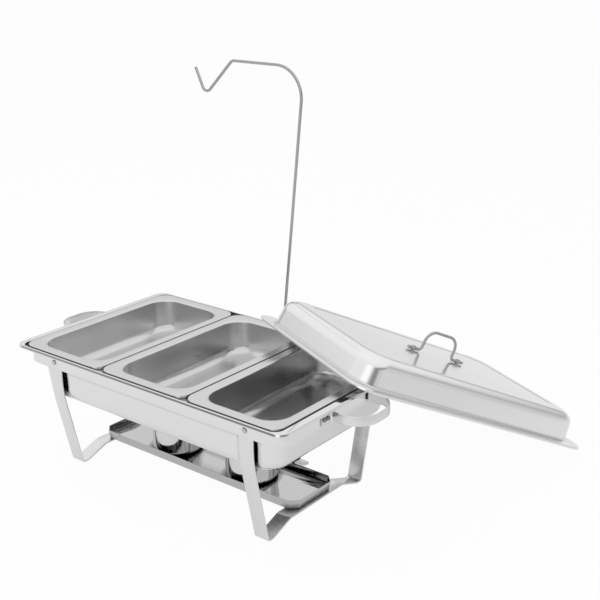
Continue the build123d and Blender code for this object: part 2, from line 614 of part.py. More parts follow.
with BuildPart() as lid_handle_posts:
    for offset_x in (-POST_X, POST_X):
        foot = lid_plane.from_local_coords(Vector(offset_x, 0, PANEL_TOP))
        with BuildSketch(Plane(foot, x_dir=long_axis, z_dir=lid_up)):
            Circle(POST_RADIUS)
        extrude(amount=POST_HEIGHT)
    post_tops = lid_handle_posts.faces().sort_by(lid_rise)[-2:]
    fillet(post_tops.edges(), 1.6)
    for offset_x in (-POST_X, POST_X):
        foot = lid_plane.from_local_coords(Vector(offset_x, 0, PANEL_TOP))
        with BuildSketch(Plane(foot, x_dir=long_axis, z_dir=lid_up)):
            Circle(TAIL_RADIUS)
        extrude(amount=-(LID_SHEET + 4.0))
    with BuildSketch(Plane(lid_plane.from_local_coords(Vector(-100, 0, EYE_HEIGHT)),
                           x_dir=side_axis, z_dir=long_axis)):
        Circle(WIRE_RADIUS + FIT)
    extrude(amount=200, mode=Mode.SUBTRACT)

lid_handle_posts.part.label = "lid_handle_posts"
export_step(lid_handle_posts.part, "parts/lid_handle_posts.step")

with BuildPart() as lid_post_nuts:
    for offset_x in (-POST_X, POST_X):
        seat = lid_plane.from_local_coords(Vector(offset_x, 0, PANEL_TOP - LID_SHEET))
        with BuildSketch(Plane(seat, x_dir=long_axis, z_dir=-lid_up)):
            RegularPolygon(4.6, 6)
            Circle(TAIL_RADIUS, mode=Mode.SUBTRACT)
        extrude(amount=3.0)

lid_post_nuts.part.label = "lid_post_nuts"
export_step(lid_post_nuts.part, "parts/lid_post_nuts.step")
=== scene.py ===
"""Looks of a chafing dish food warmer, laid out as an add-on.

Lengths are in metres. X runs along the dish, Y across it, Z up, with the origin on the floor under
the middle of the dish. Every pressed, bent or turned piece is a surface worked out with numpy:
a closed profile carried along a path, round an axis, or round a rounded rectangle.
"""
import json
import math

import bmesh
import bpy
import numpy as np
from bpy.props import FloatProperty, FloatVectorProperty, PointerProperty
from bpy.types import Operator, Panel, PropertyGroup
from mathutils import Matrix, Vector


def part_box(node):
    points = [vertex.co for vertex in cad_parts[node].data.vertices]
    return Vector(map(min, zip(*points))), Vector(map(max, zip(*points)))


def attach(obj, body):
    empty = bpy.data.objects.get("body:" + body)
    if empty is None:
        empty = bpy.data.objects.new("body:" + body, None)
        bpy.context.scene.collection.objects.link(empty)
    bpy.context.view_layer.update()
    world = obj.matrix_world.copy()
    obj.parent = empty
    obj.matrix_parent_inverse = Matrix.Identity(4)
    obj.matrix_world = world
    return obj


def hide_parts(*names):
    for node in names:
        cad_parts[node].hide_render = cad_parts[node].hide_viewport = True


bl_info = {
    "name": "Chafing Dish",
    "version": (1, 0, 0),
    "blender": (4, 5, 0),
    "location": "View3D > Sidebar > Chafing Dish",
    "description": "Pressed steel pans, strip frame, lid and fuel tray of a chafing dish food warmer",
    "category": "Object",
}

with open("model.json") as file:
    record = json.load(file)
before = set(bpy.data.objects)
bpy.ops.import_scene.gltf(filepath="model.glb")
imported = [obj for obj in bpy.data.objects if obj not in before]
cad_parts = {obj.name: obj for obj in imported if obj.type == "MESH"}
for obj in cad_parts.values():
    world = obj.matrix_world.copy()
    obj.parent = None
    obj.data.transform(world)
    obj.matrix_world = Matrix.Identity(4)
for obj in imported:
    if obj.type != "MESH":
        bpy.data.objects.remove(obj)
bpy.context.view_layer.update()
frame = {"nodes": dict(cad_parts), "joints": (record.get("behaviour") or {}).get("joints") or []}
JOINTS = {joint["name"]: joint for joint in frame["joints"]}
SIDES = (("left", -1), ("right", 1))
FOOD_PANS = ("left", "middle", "right")
SHARP = math.radians(38)        # edges sharper than this stay hard
MERGE = 2e-6                    # points nearer than this are one point
SHORTEST = 1e-7                 # edges shorter than this are dissolved
NARROWEST = 0.02                # share of its width that a strip keeps at the tip of a round end


def middle_of(node):
    """The centre of a node's box."""
    low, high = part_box(node)
    return (low + high) / 2


PAN_LOW, PAN_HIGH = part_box("water_pan")
BAND_LOW, BAND_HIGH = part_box("frame_band")
FOOD_LOW, FOOD_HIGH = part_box("food_pan_middle")
TRAY_LOW, TRAY_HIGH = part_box("fuel_tray")
_, LEG_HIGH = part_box("right_leg_frame")
SOCKET_LOW, SOCKET_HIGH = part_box("hook_socket")
LEG_PIVOT = Vector(JOINTS["right_leg_fold"]["pos_m"])
ROD_FOOT = Vector(JOINTS["rod_swivel"]["pos_m"])
LID_LONG = Vector(JOINTS["lid_bail_swing"]["axis"]).normalized()
LID_UP = Vector(JOINTS["lid_lift"]["axis"]).normalized()
LID_SIDE = LID_UP.cross(LID_LONG)
LID_EYE = Vector(JOINTS["lid_bail_swing"]["pos_m"])
X_AXIS, Y_AXIS, Z_AXIS = Vector((1, 0, 0)), Vector((0, 1, 0)), Vector((0, 0, 1))


# ---------------------------------------------------------------- sizes and colours
def length(name, description, default):
    """A length property in metres."""
    return FloatProperty(name=name, description=description, default=default, unit="LENGTH", precision=4)


def colour(name, description, default):
    """A colour property without alpha."""
    return FloatVectorProperty(name=name, description=description, default=default, subtype="COLOR",
                               size=3, min=0.0, max=1.0)


class PanSizes(PropertyGroup):
    """Sizes of the water pan and the food pans"""
    sheet: length("Water Pan Sheet", "Thickness of the water pan's sheet", 0.001)
    food_sheet: length("Food Pan Sheet", "Thickness of the food pans' sheet", 0.0009)
    rim_radius: length("Rim Corner", "Corner radius of the water pan's rim", 0.018)
    rim_sheet: length("Rim Sheet", "Thickness of the folded rim", 0.0012)
    rim_drop: length("Rim Drop", "How far the rim's top lies below the solid's", 0.0012)
    rim_slope: length("Rim Slope", "Width of the slope along the rim's outer edge", 0.0011)
    lip: length("Lip Height", "Height of the turned-down lip", 0.006)
    ledge: length("Ledge Drop", "How far the ledge under the food pans lies below the rim", 0.0048)
    floor_fillet: length("Floor Fillet", "Radius between the water pan's wall and floor", 0.022)
    food_corner: length("Food Pan Corner", "Corner radius of a food pan's body", 0.036)
    flange_corner: length("Flange Corner", "Corner radius of a food pan's flange", 0.022)
    flange_slope: length("Flange Slope", "How far a flange's edge slopes out to its foot", 0.0014)
    food_roll: length("Flange Roll", "Radius at which a flange turns down into the wall", 0.003)
    food_fillet: length("Well Fillet", "Radius between a food pan's wall and floor", 0.018)


class LidSizes(PropertyGroup):
    """Sizes of the lid and its handle"""
    sheet: length("Lid Sheet", "Thickness of the lid's sheet", 0.001)
    half_length: length("Half Length", "Half length over the flange", 0.265)
    half_width: length("Half Width", "Half width over the flange", 0.162)
    flange_corner: length("Flange Corner", "Corner radius of the flange", 0.042)
    height: length("Height", "Height of the crown above the flange", 0.0473)
    recess: length("Panel Depth", "Depth of the pressed panel in the crown", 0.0009)
    dome: length("Panel Dome", "How far the middle of the panel bulges", 0.0020)
    eye_height: length("Eye Height", "Height of the handle's axis above the flange", 0.0521)
    crown: length("Crown Fillet", "Radius between wall and crown", 0.020)
    handle_top: length("Handle Height", "Height of the handle's top above the flange", 0.090)
    wire: length("Wire Radius", "Radius of the handle's wire", 0.0025)
    post: length("Post Radius", "Radius of the handle's posts", 0.0038)
    post_place: length("Post Place", "Distance of a post from the middle of the lid", 0.053)


class FrameSizes(PropertyGroup):
    """Sizes of the strip frame"""
    band_sheet: length("Band Sheet", "Thickness of the band", 0.002)
    band_radius: length("Band Corner", "Corner radius of the band", 0.026)
    leg_width: length("Leg Width", "Width of the leg strip", 0.026)
    leg_sheet: length("Leg Sheet", "Thickness of the leg strip", 0.0025)
    strap_sheet: length("Handle Sheet", "Thickness of the handle strap", 0.002)
    strap_reach: length("Handle Half Width", "Half width of the handle loop", 0.045)
    strap_corner: length("Handle Corner", "Corner radius of the handle loop", 0.036)
    rod: length("Rod Radius", "Radius of the lid rod", 0.0025)
    sleeve: length("Socket Radius", "Radius of the rod's socket", 0.0055)


class FuelSizes(PropertyGroup):
    """Sizes of the fuel tray and the fuel holders"""
    tray_cut: length("Tray Corner Cut", "Length of the cut at the tray's corners", 0.012)
    tray_sheet: length("Tray Sheet", "Thickness of the tray's sheet", 0.001)
    cup: length("Holder Radius", "Radius of a fuel holder", 0.0425)
    cup_base: length("Holder Base", "Radius between a holder's wall and base", 0.008)
    cup_sheet: length("Holder Sheet", "Thickness of a holder's sheet", 0.0008)
    bead: length("Holder Bead", "Width of the bead round a holder's rim", 0.0015)
    strap_tip: length("Cover Handle Tip", "Radius of the round end of a cover's handle", 0.0075)


class Finishes(PropertyGroup):
    """Colours of the metal and the sleeves"""
    pan: colour("Food Pan Steel", "Satin steel of the food pans", (0.70, 0.70, 0.70))
    polished: colour("Polished Steel", "Polished steel of the water pan, the band and the fuel holders",
                     (0.80, 0.80, 0.803))
    tray: colour("Tray Steel", "Thin bright sheet of the fuel tray", (0.58, 0.58, 0.585))
    lid: colour("Lid Steel", "Mirror polished steel of the lid", (0.86, 0.86, 0.86))
    strip: colour("Strip Steel", "Brushed steel of the legs and handles", (0.78, 0.78, 0.78))
    wire: colour("Wire Steel", "Bright wire of the lid handle and rod", (0.46, 0.46, 0.47))
    fastener: colour("Fastener Steel", "Plain steel of bolts and nuts", (0.32, 0.32, 0.33))
    rivet: colour("Rivet Steel", "Steel of the leg rivets", (0.55, 0.55, 0.56))
    sleeve: colour("Sleeve", "Heat-proof sleeve of the fuel covers", (0.015, 0.015, 0.015))


# ---------------------------------------------------------------- surfaces
def grown(half, by):
    """Half length, half width and corner radius, all larger by the same amount."""
    return tuple(size + by for size in half)


def rounded(points, radii, steps=8, across=(0, -1)):
    """A polyline whose inner corners become circular arcs. Each arc is the rational quadratic blend of
    the corner and its two tangent points, weighted by the sine of half the corner's angle. The radii are
    measured in the two columns named by across, and every other column blends with the same weights."""
    rows = np.asarray(points, float)
    flat = rows[:, list(across)]
    made = [rows[:1]]
    t = np.linspace(0, 1, steps + 1)[:, None]
    for index, radius in enumerate(radii, start=1):
        corner = rows[index]
        if radius <= 0:
            made.append(corner[None])
            continue
        back, ahead = flat[index - 1] - flat[index], flat[index + 1] - flat[index]
        long_back, long_ahead = np.linalg.norm(back), np.linalg.norm(ahead)
        half = 0.5 * math.acos(np.clip(back @ ahead / (long_back * long_ahead), -1, 1))
        reach = radius / math.tan(half)
        start = corner + (rows[index - 1] - corner) * reach / long_back
        end = corner + (rows[index + 1] - corner) * reach / long_ahead
        share = np.hstack([(1 - t) ** 2, 2 * math.sin(half) * t * (1 - t), t ** 2])
        made.append(share @ np.stack([start, corner, end]) / share.sum(1, keepdims=True))
    made.append(rows[-1:])
    return np.vstack(made)


def rectangle_rings(levels, corner_steps=10):
    """Rings of rounded rectangles. A level is half length, half width, corner radius and height; a
    ring's point is the corner's centre plus its radius times the cosine and sine of the angle."""
    half_x, half_y, radius, height = np.asarray(levels, float).T[:, :, None]
    radius = np.minimum(radius, np.minimum(half_x, half_y))
    quarter = np.linspace(0, np.pi / 2, corner_steps + 1)
    angle = np.concatenate([quarter + turn * np.pi / 2 for turn in range(4)] + [[2 * np.pi]])
    side_x = np.repeat([1, -1, -1, 1, 1], [corner_steps + 1] * 4 + [1])
    side_y = np.repeat([1, 1, -1, -1, 1], [corner_steps + 1] * 4 + [1])
    x = side_x * (half_x - radius) + radius * np.cos(angle)
    y = side_y * (half_y - radius) + radius * np.sin(angle)
    return np.stack([x, y, height + 0 * x], axis=-1)


def block(half, low, high, edges=(0.0, 0.0), steps=5, corner_steps=8):
    """A rounded rectangle that stands on Z from low to high, closed and rounded at both ends."""
    levels = [(0, 0, 0, low), (*half, low), (*half, high), (0, 0, 0, high)]
    return rectangle_rings(rounded(levels, edges, steps), corner_steps)


def cut_rings(levels, steps=3):
    """Rings of rectangles with cut corners. A level is half length, half width, length of the cut,
    rounding radius and height. Each of the eight corners is where two neighbouring side lines meet,
    both moved in by the rounding radius, plus that radius times the cosine and sine of the angle."""
    half_x, half_y, cut, radius, height = np.asarray(levels, float).T[:, :, None]
    slant = (half_x + half_y - cut) / math.sqrt(2)
    reach = np.concatenate([half_x, slant, half_y, slant] * 2, axis=1) - radius
    after = np.roll(reach, -1, axis=1)
    eighth = np.pi / 4
    side = np.arange(8) * eighth
    corner_x = (reach * np.sin(side + eighth) - after * np.sin(side)) / math.sin(eighth)
    corner_y = (after * np.cos(side) - reach * np.cos(side + eighth)) / math.sin(eighth)
    angle = (side[:, None] + np.linspace(0, eighth, steps + 1)).ravel()
    x = corner_x.repeat(steps + 1, axis=1) + radius * np.cos(angle)
    y = corner_y.repeat(steps + 1, axis=1) + radius * np.sin(angle)
    grid = np.stack([x, y, height + 0 * x], axis=-1)
    return np.concatenate([grid, grid[:, :1]], axis=1)


def turned(profile, radii, corner_steps=6, steps=36):
    """A profile of radius and height, its inner corners rounded, turned about Z: x and y are the radius
    times the cosine and sine of the angle."""
    radius, height = rounded(profile, radii, corner_steps).T[:, :, None]
    angle = np.linspace(0, 2 * np.pi, steps + 1)
    return np.stack([radius * np.cos(angle), radius * np.sin(angle), height + 0 * angle * radius], axis=-1)


def swept(path, section, widths=None):
    """A section carried along a flat path. At each path point the section's first column runs along the
    path's normal and its second along the plane's normal, times the width there; both ends close on
    their middle."""
    steps = np.diff(path, axis=0)
    steps /= np.linalg.norm(steps, axis=1, keepdims=True)
    tangent = np.vstack([steps[:1], steps[:-1] + steps[1:], steps[-1:]])
    tangent /= np.linalg.norm(tangent, axis=1, keepdims=True)
    normal = np.stack([-tangent[:, 1], tangent[:, 0]], axis=1)
    widths = np.ones(len(path)) if widths is None else widths
    flat = path[:, None, :] + normal[:, None, :] * section[None, :, :1]
    across = widths[:, None] * section[None, :, 1]
    grid = np.concatenate([flat, across[:, :, None]], axis=2)
    ends = grid[[0, -1]].mean(axis=1, keepdims=True).repeat(len(section), axis=1)
    return np.concatenate([ends[:1], grid, ends[1:]])


def round_end(share):
    """Width share of a strip near its round end: the square root of 1 less the square of the distance
    from the end's centre, as a share of its radius."""
    return np.maximum(np.sqrt(1 - share ** 2), NARROWEST)


def strip_section(sheet, width, edge, steps=3):
    """The closed outline of a flat strip with rounded edges: thickness first, width second."""
    return rectangle_rings([[sheet / 2, width / 2, edge, 0]], steps)[0, :, :2]


def wire_section(radius, steps=20):
    """The closed outline of round wire."""
    angle = np.linspace(0, 2 * np.pi, steps + 1)
    return radius * np.stack([np.cos(angle), np.sin(angle)], axis=1)


def placed(grid, origin, x_axis, y_axis, z_axis):
    """The grid's columns measured along three axes from an origin."""
    return np.array(origin) + grid @ np.array([x_axis, y_axis, z_axis])


def shifted(grid, x=0.0, y=0.0, z=0.0):
    """The grid moved along X, Y and Z."""
    return grid + np.array([x, y, z])


def facing(grid, origin, outward):
    """The grid turned so that its Z points outward, a level direction, and moved to an origin."""
    outward = Vector(outward)
    return placed(grid, origin, Z_AXIS.cross(outward), Z_AXIS, outward)


def quads(rows, columns, start=0):
    """The four point numbers of every cell of a grid whose first point has the number start."""
    index = start + np.arange(rows * columns).reshape(rows, columns)
    return np.stack([index[:-1, :-1], index[:-1, 1:], index[1:, 1:], index[1:, :-1]], -1).reshape(-1, 4)


def mesh_of(name, grid):
    """A mesh whose faces are the cells of one grid."""
    mesh = bpy.data.meshes.new(name)
    mesh.from_pydata(grid.reshape(-1, 3).tolist(), [], quads(*grid.shape[:2]).tolist())
    return mesh


def added(name, data):
    """A new object in the scene."""
    made = bpy.data.objects.new(name, data)
    bpy.context.scene.collection.objects.link(made)
    return made


def closed(mesh):
    """Merges a mesh's seams and poles, and turns its faces outwards."""
    shell = bmesh.new()
    shell.from_mesh(mesh)
    bmesh.ops.remove_doubles(shell, verts=shell.verts, dist=MERGE)
    bmesh.ops.dissolve_degenerate(shell, edges=shell.edges, dist=SHORTEST)
    bmesh.ops.recalc_face_normals(shell, faces=shell.faces)
    shell.to_mesh(mesh)
    shell.free()
    return mesh


def piece(name, grids, kind, body, node_name):
    """One mesh from grids of points in one kind of finish, which rides on a body and stands for a node
    of the frame. Each grid's cells become quads, and its UV map holds the distance run along the rows
    and the columns, in metres."""
    points, faces, uvs, start = [], [], [], 0
    for grid in grids:
        faces.append(quads(*grid.shape[:2], start))
        along = np.linalg.norm(np.diff(grid, axis=0), axis=2).mean(1).cumsum()
        around = np.linalg.norm(np.diff(grid, axis=1), axis=2).max(0).cumsum()
        u, v = np.meshgrid(np.append(0, along), np.append(0, around), indexing="ij")
        points.append(grid.reshape(-1, 3))
        uvs.append(np.stack([u, v], -1).reshape(-1, 2))
        start += u.size
    faces = np.vstack(faces)
    mesh = bpy.data.meshes.new(name)
    mesh.from_pydata(np.vstack(points).tolist(), [], faces.tolist())
    layer = mesh.uv_layers.new(name="UVMap")
    layer.data.foreach_set("uv", np.vstack(uvs)[faces.ravel()].astype(np.float32).ravel())
    closed(mesh)
    mesh.shade_smooth()
    mesh.set_sharp_from_angle(angle=SHARP)
    mesh.materials.append(finish(kind))
    made = added(name, mesh)
    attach(made, body)
    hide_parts(node_name)
    return made


# ---------------------------------------------------------------- materials
def feed(tree, socket, term):
    """Links a node's output to a socket, or sets the socket to a value."""
    if isinstance(term, bpy.types.NodeSocket):
        tree.links.new(term, socket)
    else:
        socket.default_value = term


def node(tree, kind, **values):
    """A new shader node with its own values set, and its named sockets set or linked."""
    made = tree.nodes.new(kind)
    for key, value in values.items():
        if key in made.inputs:
            feed(tree, made.inputs[key], value)
        else:
            setattr(made, key, value)
    return made


def maths(tree, operation, *terms):
    """The result of a math node. A term is a number or an output."""
    made = node(tree, "ShaderNodeMath", operation=operation)
    for socket, term in zip(made.inputs, terms):
        feed(tree, socket, term)
    return made.outputs[0]


def ranged(tree, value, start=(0.0, 1.0), end=(0.0, 1.0), curve="LINEAR"):
    """A value carried from one range to another, and kept inside it."""
    ends = dict(zip(("From Min", "From Max", "To Min", "To Max"), (*start, *end)))
    return node(tree, "ShaderNodeMapRange", interpolation_type=curve, Value=value, **ends).outputs["Result"]


def blended(tree, share, first, second):
    """The colour at that share of the way from the first to the second."""
    return node(tree, "ShaderNodeMix", data_type="RGBA", Factor=share, A=first, B=second).outputs["Result"]


def mixed(tree, share, first, second):
    """The shader that is the second by that share, and otherwise the first."""
    made = node(tree, "ShaderNodeMixShader")
    for socket, term in zip(made.inputs, (share, first.outputs[0], second.outputs[0])):
        tree.links.new(term, socket)
    return made.outputs[0]


def noise(tree, vector, scale, detail, roughness=0.5):
    """Noise over a vector."""
    made = node(tree, "ShaderNodeTexNoise", Vector=vector, Scale=scale, Detail=detail, Roughness=roughness)
    return made.outputs["Fac"]


def bump(tree, height, distance, **others):
    """The normal of a bumped surface."""
    return node(tree, "ShaderNodeBump", Height=height, Distance=distance, **others).outputs["Normal"]


def scratches(tree, place, angle, size):
    """Thin scratches in one direction: noise drawn out twenty times, kept only near its middle value."""
    drawn = (size, size * 20, size * 20)
    turn = node(tree, "ShaderNodeMapping", Vector=place, Rotation=(0.2, 0.1, angle), Scale=drawn)
    return maths(tree, "COMPARE", noise(tree, turn.outputs["Vector"], 1.0, 1.0, 0.3), 0.5, 0.006)


def blank(name):
    """A new material with nodes, its node tree and its shader."""
    material = bpy.data.materials.new(name)
    material.use_nodes = True
    return material, material.node_tree, material.node_tree.nodes["Principled BSDF"]


def steel(name, base, roughness, spread, grain, grain_bump, wave, wave_bump, source="Object", tone=0.06,
          crevice=0.0, depth=1.6, scuffs=0.0):
    """Steel sheet. Fine noise drawn out along one direction gives the grain, and a slow noise gives the
    slight waves of rolled sheet; the grain also varies the roughness and, a little, the colour. Crossed
    thin scratches add to the roughness, and painted shade darkens the colour towards black in gaps and
    corners within the painted shade reach, by the open share of the sky raised to the depth."""
    material, tree, shader = blank(name)
    shader.inputs["Metallic"].default_value = 1.0
    place = node(tree, "ShaderNodeTexCoord").outputs
    stretch = node(tree, "ShaderNodeMapping", Vector=place[source], Scale=grain)
    lines = noise(tree, stretch.outputs["Vector"], 1.0, 3.0, 0.6)
    waves = noise(tree, place["Object"], wave, 1.0, 0.4)
    rough = ranged(tree, lines, end=(max(0.0, roughness - spread), roughness + spread))
    if scuffs:
        for angle, size in ((0.5, 16.0), (-0.9, 23.0)):
            marks = scratches(tree, place["Object"], angle, size)
            rough = maths(tree, "MULTIPLY_ADD", marks, scuffs, rough)
    tree.links.new(rough, shader.inputs["Roughness"])
    shade = blended(tree, lines, (*[part * (1 - tone) for part in base], 1),
                    (*[min(1.0, part * (1 + tone)) for part in base], 1))
    # painted shade: ambient occlusion darkens the colour towards black in gaps and corners, standing in for
    # the shade that falls there
    if crevice:
        sky = node(tree, "ShaderNodeAmbientOcclusion", samples=8, Distance=crevice)
        shade = blended(tree, maths(tree, "POWER", sky.outputs["AO"], depth), (0.01, 0.01, 0.01, 1), shade)
    tree.links.new(shade, shader.inputs["Base Color"])
    normal = bump(tree, lines, grain_bump, Normal=bump(tree, waves, wave_bump))
    tree.links.new(normal, shader.inputs["Normal"])
    return material


def moulded(name, base):
    """Matt moulded plastic with a fine pebble."""
    material, tree, shader = blank(name)
    shader.inputs["Base Color"].default_value = (*base, 1)
    pebble = noise(tree, node(tree, "ShaderNodeTexCoord").outputs["Object"], 1800.0, 2.0)
    tree.links.new(ranged(tree, pebble, end=(0.42, 0.6)), shader.inputs["Roughness"])
    tree.links.new(bump(tree, pebble, 0.0001, Strength=0.5), shader.inputs["Normal"])
    return material


# each steel: its colour's name, roughness, spread of roughness, scale of the grain, height of the grain,
# scale and height of the waves, and then whichever of steel's other values differ from the usual ones
# the painted shade reach and depth set how far into gaps and corners, and how strongly, painted shade darkens
# each steel's colour
STEELS = {
    "food pan steel": ("pan", 0.25, 0.02, (500, 50, 500), 0.0000008, 9.0, 0.0003,
                       {"tone": 0.02, "crevice": 0.006, "depth": 2.0, "scuffs": 0.012}),
    "polished steel": ("polished", 0.09, 0.015, (500, 500, 500), 0.0000005, 7.0, 0.0003,
                       {"tone": 0.02, "crevice": 0.006, "scuffs": 0.04}),
    "water pan steel": ("polished", 0.10, 0.015, (500, 500, 500), 0.0000005, 7.0, 0.0003,
                        {"tone": 0.02, "crevice": 0.012, "depth": 2.4, "scuffs": 0.03}),
    "tray steel": ("tray", 0.07, 0.015, (500, 500, 500), 0.0000005, 7.0, 0.0001,
                   {"tone": 0.02, "crevice": 0.012, "depth": 2.0, "scuffs": 0.05}),
    "lid steel": ("lid", 0.15, 0.01, (400, 400, 400), 0.0000003, 5.0, 0.0003,
                  {"tone": 0.01, "crevice": 0.005, "scuffs": 0.015}),
    "strip steel": ("strip", 0.24, 0.04, (40, 2500, 1), 0.000003, 10.0, 0.00004,
                    {"source": "UV", "tone": 0.03, "scuffs": 0.04}),
    "wire steel": ("wire", 0.22, 0.04, (60, 900, 1), 0.000002, 20.0, 0.0001,
                   {"source": "UV", "tone": 0.03}),
    "fastener steel": ("fastener", 0.22, 0.05, (700, 700, 700), 0.000002, 40.0, 0.0001, {"crevice": 0.003}),
    "rivet steel": ("rivet", 0.24, 0.05, (700, 700, 700), 0.000002, 40.0, 0.0001, {"crevice": 0.002}),
}


def finish(kind):
    """The material of that finish, made the first time that it is asked for."""
    found = bpy.data.materials.get(kind)
    if found:
        return found
    tones = bpy.context.scene.dish_finishes
    if kind == "sleeve":
        return moulded(kind, tones.sleeve)
    tone, *values, others = STEELS[kind]
    return steel(kind, getattr(tones, tone), *values, **others)


# ---------------------------------------------------------------- operators
class DISH_OT_water_pan(Operator):
    """Deep water pan: wall, floor, ledge, riser and a folded rim with a turned-down lip"""
    bl_idname = "dish.water_pan"
    bl_label = "Water Pan"

    def execute(self, context):
        sizes = context.scene.dish_pans
        sheet, rim, corner = sizes.sheet, sizes.rim_sheet, sizes.rim_radius
        low, top = PAN_LOW.z, PAN_HIGH.z - sizes.rim_drop
        ledge, lip_low, under = PAN_HIGH.z - sizes.ledge, PAN_HIGH.z - sizes.lip, top - rim
        # half length, half width and corner radius of the wall's outside at the floor and under the
        # ledge, and of the riser's inside
        foot, neck, riser = (0.243, 0.142, 0.033), (0.2531, 0.1461, 0.0312), (0.2662, 0.1640, 0.0150)
        # the rim's outer edge is a short slope, which ends in an upright hem
        outer = (PAN_HIGH.x, PAN_HIGH.y, corner)
        slope, hem, back = grown(outer, -sizes.rim_slope), grown(outer, -rim), grown(riser, rim)
        levels = [(0, 0, 0, low), (*foot, low), (*neck, lip_low), (*back, lip_low), (*back, under),
                  (*hem, under), (*hem, lip_low), (*outer, lip_low), (*outer, lip_low + 0.0014),
                  (*slope, top), (*riser, top), (*riser, ledge), (*grown(neck, -sheet), ledge),
                  (*grown(foot, -sheet), low + sheet), (0, 0, 0, low + sheet)]
        fillet = sizes.floor_fillet
        radii = [fillet, 0.002, 0.0004, 0.0005, 0.0006, 0.0003, 0.0004, 0.0006, 0.0012, 0.0008, 0.0006, 0.003,
                 fillet - sheet]
        shell = rectangle_rings(rounded(levels, radii, 10), 16)
        piece("water_pan_sheet", [shell], "water pan steel", "deep_pan", "water_pan")
        return {"FINISHED"}


class DISH_OT_food_pans(Operator):
    """Three food pans of one-third size, each with a flange rolled down into a tapered well"""
    bl_idname = "dish.food_pans"
    bl_label = "Food Pans"

    def execute(self, context):
        sizes = context.scene.dish_pans
        sheet, roll, fillet = sizes.food_sheet, sizes.food_roll, sizes.food_fillet
        low, top = FOOD_LOW.z, FOOD_HIGH.z
        under, edge = top - sheet, top - sizes.ledge
        flange = (FOOD_HIGH.x, FOOD_HIGH.y, sizes.flange_corner)
        body = (FOOD_HIGH.x - 0.0166, FOOD_HIGH.y - 0.0186, sizes.food_corner)
        taper = math.tan(math.radians(3))
        foot = grown(body, -(top - low) * taper)
        slope, inner = grown(flange, -sizes.flange_slope), grown(flange, -sheet)
        levels = [(0, 0, 0, low), (*foot, low), (*body, under), (*grown(inner, -sizes.flange_slope), under),
                  (*inner, edge), (*flange, edge), (*flange, edge + 0.0003), (*slope, top),
                  (*grown(body, -sheet), top), (*grown(foot, -sheet), low + sheet), (0, 0, 0, low + sheet)]
        radii = [fillet, roll - sheet, 0.0003, 0.0002, 0.0001, 0.0001, 0.0009, roll, fillet - sheet]
        shell = rectangle_rings(rounded(levels, radii, 10), 14)
        for name in FOOD_PANS:
            place = middle_of(f"food_pan_{name}").x
            piece(f"food_pan_{name}_sheet", [shifted(shell, x=place)], "food pan steel",
                  f"{name}_food_pan", f"food_pan_{name}")
        return {"FINISHED"}


class DISH_OT_lid(Operator):
    """Lid: flange with a turned-down edge, tapered wall, rounded crown and a shallow domed panel"""
    bl_idname = "dish.lid"
    bl_label = "Lid"

    def execute(self, context):
        sizes = context.scene.dish_lid
        sheet, top, fillet = sizes.sheet, sizes.height, sizes.crown
        sunk, edge = top - sizes.recess, -0.0025
        # half length, half width and corner radius of each form
        flange = (sizes.half_length, sizes.half_width, sizes.flange_corner)
        wall, panel = (0.248, 0.140, 0.040), (0.213, 0.110, 0.030)
        taper = math.tan(math.radians(5))
        crown = grown(wall, -top * taper)
        hem, floor = grown(flange, -sheet), grown(panel, -0.005)
        levels = [(0, 0, 0, sunk), (*floor, sunk), (*panel, top), (*crown, top), (*wall, sheet),
                  (*flange, sheet), (*flange, edge), (*hem, edge), (*hem, 0), (*grown(wall, -sheet), 0),
                  (*grown(crown, -sheet), top - sheet), (*panel, top - sheet), (*floor, sunk - sheet),
                  (0, 0, 0, sunk - sheet)]
        radii = [0.012, 0.012, fillet, 0.003, 0.0009, 0.0004, 0.0004, 0.0004, 0.004, fillet - sheet, 0.010,
                 0.010]
        rows = rounded(levels, radii, 12)
        # the panel has more rings, and bulges by the dome times (1 - (x/a)^2) (1 - (y/b)^2)
        inside = np.linspace(0, 1, 12)[1:-1, None]
        first, last = [near * (1 - inside) + far * inside for near, far in (rows[:2], rows[-2:])]
        shell = rectangle_rings(np.vstack([rows[:1], first, rows[1:-1], last, rows[-1:]]), 20)
        along, across = [np.clip(1 - (shell[..., axis] / floor[axis]) ** 2, 0, 1) for axis in (0, 1)]
        shell[..., 2] += sizes.dome * along * across * (shell[..., 2] > top / 2)
        grid = placed(shell, LID_EYE - LID_UP * sizes.eye_height, LID_LONG, LID_SIDE, LID_UP)
        piece("lid_sheet", [grid], "lid steel", "dish_lid", "lid")
        return {"FINISHED"}


class DISH_OT_lid_handle(Operator):
    """Bent wire handle and the two turned posts that it swings in"""
    bl_idname = "dish.lid_handle"
    bl_label = "Lid Handle"

    def execute(self, context):
        sizes = context.scene.dish_lid
        origin = LID_EYE - LID_UP * sizes.eye_height
        eye, top, radius = sizes.eye_height, sizes.handle_top - sizes.wire, sizes.post
        path = [(-0.065, eye), (-0.036, eye), (-0.035, top), (0.035, top), (0.036, eye), (0.065, eye)]
        line = rounded(path, [0.006, 0.020, 0.020, 0.006], 14)
        bail = placed(swept(line, wire_section(sizes.wire)), origin, LID_LONG, LID_UP, -LID_SIDE)
        piece("lid_handle_wire", [bail], "wire steel", "lid_bail", "lid_handle")
        # a post: foot, waist and a domed head
        low, high = sizes.height - sizes.recess, sizes.height + 0.009
        profile = [(0, low), (radius, low), (radius, low + 0.0012), (radius - 0.0005, low + 0.0022),
                   (radius, high - 0.005), (radius, high), (0, high)]
        post = turned(profile, [0.0002, 0.0004, 0.0006, 0.002, 0.0016])
        posts = [placed(post, origin + LID_LONG * side * sizes.post_place, LID_LONG, LID_SIDE, LID_UP)
                 for side in (-1, 1)]
        piece("lid_handle_turned_posts", posts, "wire steel", "dish_lid",
              "lid_handle_posts")
        return {"FINISHED"}


